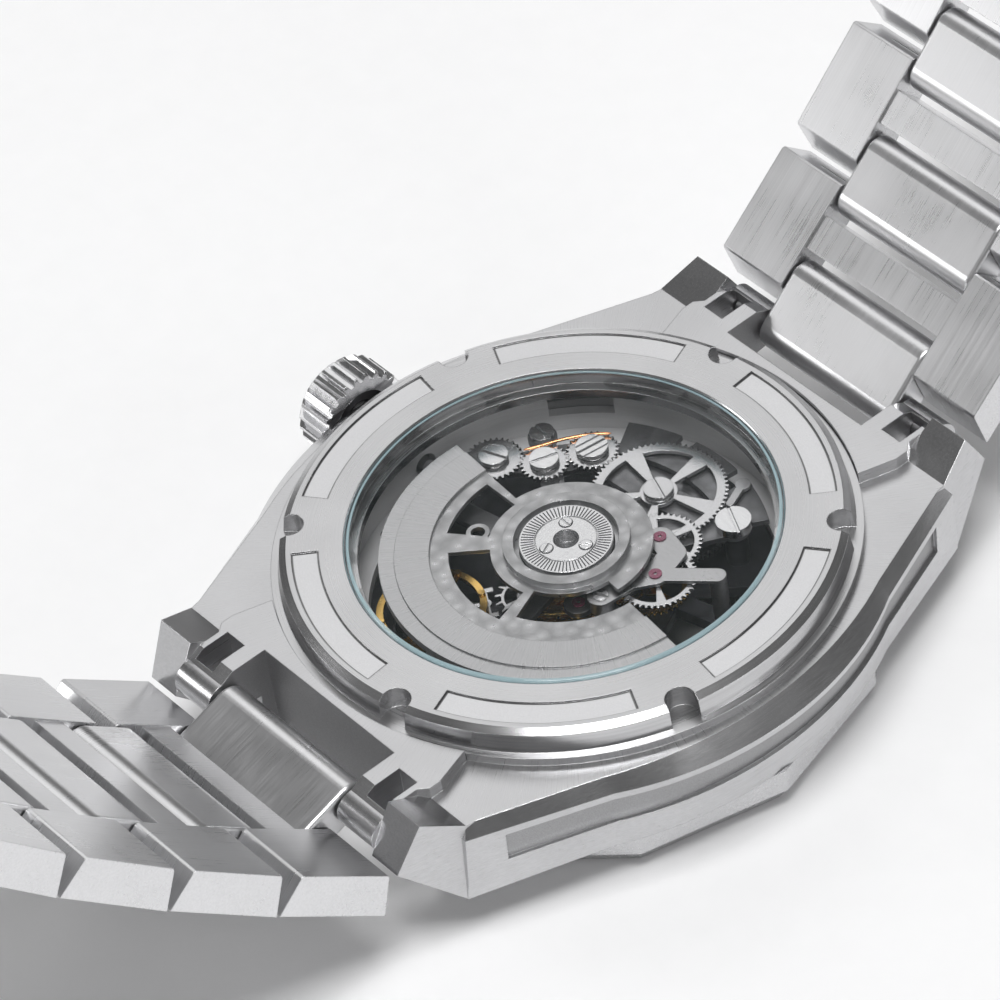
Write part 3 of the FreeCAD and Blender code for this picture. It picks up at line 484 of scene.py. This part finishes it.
def lathe(made, profile, centre=(0.0, 0.0), steps=128):
    """Turn a closed (radius, z) outline about a vertical axis."""
    rings = []
    for index in range(steps):
        turn = index * 2 * math.pi / steps
        rings.append([made.verts.new((centre[0] + r * math.cos(turn), centre[1] + r * math.sin(turn), z))
                      for r, z in profile])
    for index, ring in enumerate(rings):
        after = rings[(index + 1) % steps]
        for k in range(len(profile)):
            m = (k + 1) % len(profile)
            made.faces.new((ring[k], after[k], after[m], ring[m]))


def crystal_edge(material):
    """The tinted chamfer line round the caseback crystal."""
    r, z, w = BACK_CRYSTAL_R, BACK_CRYSTAL_Z, 0.25 * MM
    profile = [(r - w, z - 0.02 * MM), (r - 0.2 * w, z - 0.9 * w), (r - 0.2 * w, z - 1.6 * w),
               (r - 1.1 * w, z - 0.6 * w)]
    piece = new_piece("crystal_edge", lambda made: lathe(made, profile), material, "case")
    for face in piece.data.polygons:
        face.use_smooth = True
    return piece


def screw_gap_shades(material):
    """Painted shade: thin dark rings in the gaps round the three bearing screws and at the joint in the
    bearing's middle.
    """
    def build(made):
        low, high = BEARING_TOP_Z, BEARING_TOP_Z + 0.012 * MM

        def rim(inner, outer, centre, steps):
            lathe(made, [(inner, low), (outer, low), (outer, high), (inner, high)], centre, steps)

        for turn in BEARING_SCREW_TURNS:
            angle = math.radians(turn)
            centre = (BEARING_SCREW_REACH * math.cos(angle), BEARING_SCREW_REACH * math.sin(angle))
            rim(0.40 * MM, 0.46 * MM, centre, 48)
        rim(0.75 * MM, 0.82 * MM, (0.0, 0.0), 64)
    return new_piece("screw_gap_shades", build, material, "case")


def click_spring(material):
    """Copper spring beside the winding wheels: a flat strip swept along a bend."""
    route = [(-9.35, 4.1), (-8.8, 5.1), (-8.3, 6.4), (-7.3, 8.0), (-6.2, 9.1)]
    low, high, half = 8.3 * MM, 8.5 * MM, 0.13 * MM

    def build(made):
        sides = []
        for index, (x, y) in enumerate(route):
            before = Vector(route[max(index - 1, 0)])
            after = Vector(route[min(index + 1, len(route) - 1)])
            across = (after - before).normalized().orthogonal() * half
            point = Vector((x, y)) * MM
            corners = [(point + across * s, z) for s, z in ((1, low), (-1, low), (-1, high), (1, high))]
            sides.append([made.verts.new((*p, z)) for p, z in corners])
        for a, b in zip(sides, sides[1:]):
            for k in range(4):
                m = (k + 1) % 4
                made.faces.new((a[k], a[m], b[m], b[k]))
        made.faces.new(sides[0])
        made.faces.new(sides[-1])

    piece = new_piece("click_spring", build, material, "case")
    smooth = piece.modifiers.new("bend", "SUBSURF")
    smooth.levels = smooth.render_levels = 2
    return piece


# ---- stage -----------------------------------------------------------------

def area_light(name, place, size, power):
    data = bpy.data.lights.new(name, "AREA")
    data.shape, data.size, data.energy = "SQUARE", size, power
    lamp = bpy.data.objects.new(name, data)
    lamp.location = place
    lamp.rotation_euler = (Vector(place) - Vector(LIGHT_AIM)).to_track_quat("Z", "Y").to_euler()
    bpy.context.scene.collection.objects.link(lamp)


def make_stage():
    bpy.ops.mesh.primitive_grid_add(x_subdivisions=8, y_subdivisions=8, size=2 * FLOOR_HALF,
                                    location=(0, 0, cad_low[2] - FLOOR_GAP))
    floor = bpy.context.object
    floor.name = "floor"
    floor.data.materials.append(floor_paper())
    world = bpy.data.worlds.new("studio")
    bpy.context.scene.world = world
    world.use_nodes = True
    world.node_tree.nodes["Background"].inputs[0].default_value = (1.0, 1.0, 1.0, 1.0)
    world.node_tree.nodes["Background"].inputs[1].default_value = WORLD_LEVEL
    for lamp in LAMPS:
        area_light(*lamp)
    bpy.context.scene.view_settings.view_transform = "Standard"


def make_camera():
    data = bpy.data.cameras.new("camera")
    data.lens, data.sensor_width = CAMERA_LENS, SENSOR
    data.clip_start, data.clip_end = 0.01, 20.0
    camera = bpy.data.objects.new("camera", data)
    camera.location = CAMERA_PLACE
    camera.rotation_euler = [math.radians(a) for a in CAMERA_TURN]
    bpy.context.scene.collection.objects.link(camera)
    bpy.context.scene.camera = camera


def centre_of(node):
    low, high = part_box(node)
    return ((low[0] + high[0]) / 2, (low[1] + high[1]) / 2)


def dress_frame():
    """Give every CAD node its finish."""
    shared = {
        "case_middle": case_steel(),
        "caseback_ring": ring_steel(),
        "outer_link": link_steel(),
        "centre_link": brushed("centre_link_finish", BRIGHT_STEEL, (12000.0, 300.0, 300.0), (0.26, 0.36),
                               0.001, 0.06),
        "clasp": brushed("clasp_finish", BRIGHT_STEEL, (9000.0, 160.0, 160.0)),
        "bezel": brushed("bezel_finish", STEEL, (300.0, 7000.0, 7000.0), (0.16, 0.28)),
        "crown": brushed("crown_finish", BRIGHT_STEEL, (5000.0, 900.0, 900.0), (0.12, 0.26)),
        "crystal": sapphire("sapphire_finish", (0.10, 0.12, 0.12), 0.05),
        "rubber": rubber(),
        "movement_ring": holder_grey(),
        "plate": perlage("plate_finish", (0.10, 0.10, 0.11)),
        "bridge": perlage("bridge_finish", (0.30, 0.30, 0.31)),
        "grey_bridge": brushed("grey_bridge_finish", (0.58, 0.58, 0.59), (2500.0, 5000.0, 5000.0),
                               (0.26, 0.4)),
        "rotor_plate": perlage("rotor_plate_finish", (0.62, 0.62, 0.63), (0.24, 0.4)),
        "rotor_weight": rotor_weight_steel(),
        "rotor_bearing": turned("bearing_finish", BRIGHT_STEEL),
        "screws": brushed("screw_finish", BRIGHT_STEEL, (700.0, 6000.0, 6000.0), (0.1, 0.22)),
        "gilt": gilt(),
        "ruby": ruby(),
        # Dark fill of the bearing marks, also used as painted shade in the screw gaps
        "mark_fill_and_gap_shade": mark_fill_and_gap_shade(),
        "dial": dial_black(),
        "hands": brushed("hand_finish", BRIGHT_STEEL, (6000.0, 400.0, 400.0), (0.1, 0.2)),
        "dark": brushed("dark_finish", DARK_STEEL, (3000.0, 3000.0, 3000.0), (0.25, 0.4)),
    }
    groups = {
        "crystal": ("front_crystal", "caseback_crystal"),
        "rubber": ("seals", "crown_gasket"),
        "plate": ("main_plate",),
        "bridge": ("train_bridge", "balance_cock"),
        "grey_bridge": ("automatic_bridge", "click"),
        "screws": ("bridge_screws",),
        "ruby": ("jewels",),
        "dial": ("dial_ring",),
        "dark": ("barrel", "hairspring"),
        "clasp": ("clasp_cover", "clasp_blade"),
        "hands": ("hour_hand", "minute_hand", "seconds_hand"),
        "gilt": ("centre_wheel", "second_wheel", "third_wheel", "fourth_wheel", "balance_wheel",
                 "minute_wheel", "hour_wheel"),
    }
    named = {node: key for key, nodes in groups.items() for node in nodes}
    for node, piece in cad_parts.items():
        key = node if node in shared else named.get(node)
        if "_link_" in node:
            key = "outer_link" if "outer" in node else "centre_link"
        material = shared[key] if key else turned(node + "_finish", STEEL, centre_of(node), (0.12, 0.26))
        for slot in piece.material_slots:
            slot.material = material
    return shared


finishes = dress_frame()
bearing_ticks(finishes["mark_fill_and_gap_shade"])
crystal_edge(sapphire("crystal_edge_finish", (0.50, 0.68, 0.73), 0.55))
# Painted shade in the gaps round the bearing screws and at the bearing's middle joint
screw_gap_shades(finishes["mark_fill_and_gap_shade"])
click_spring(copper())
make_stage()
make_camera()
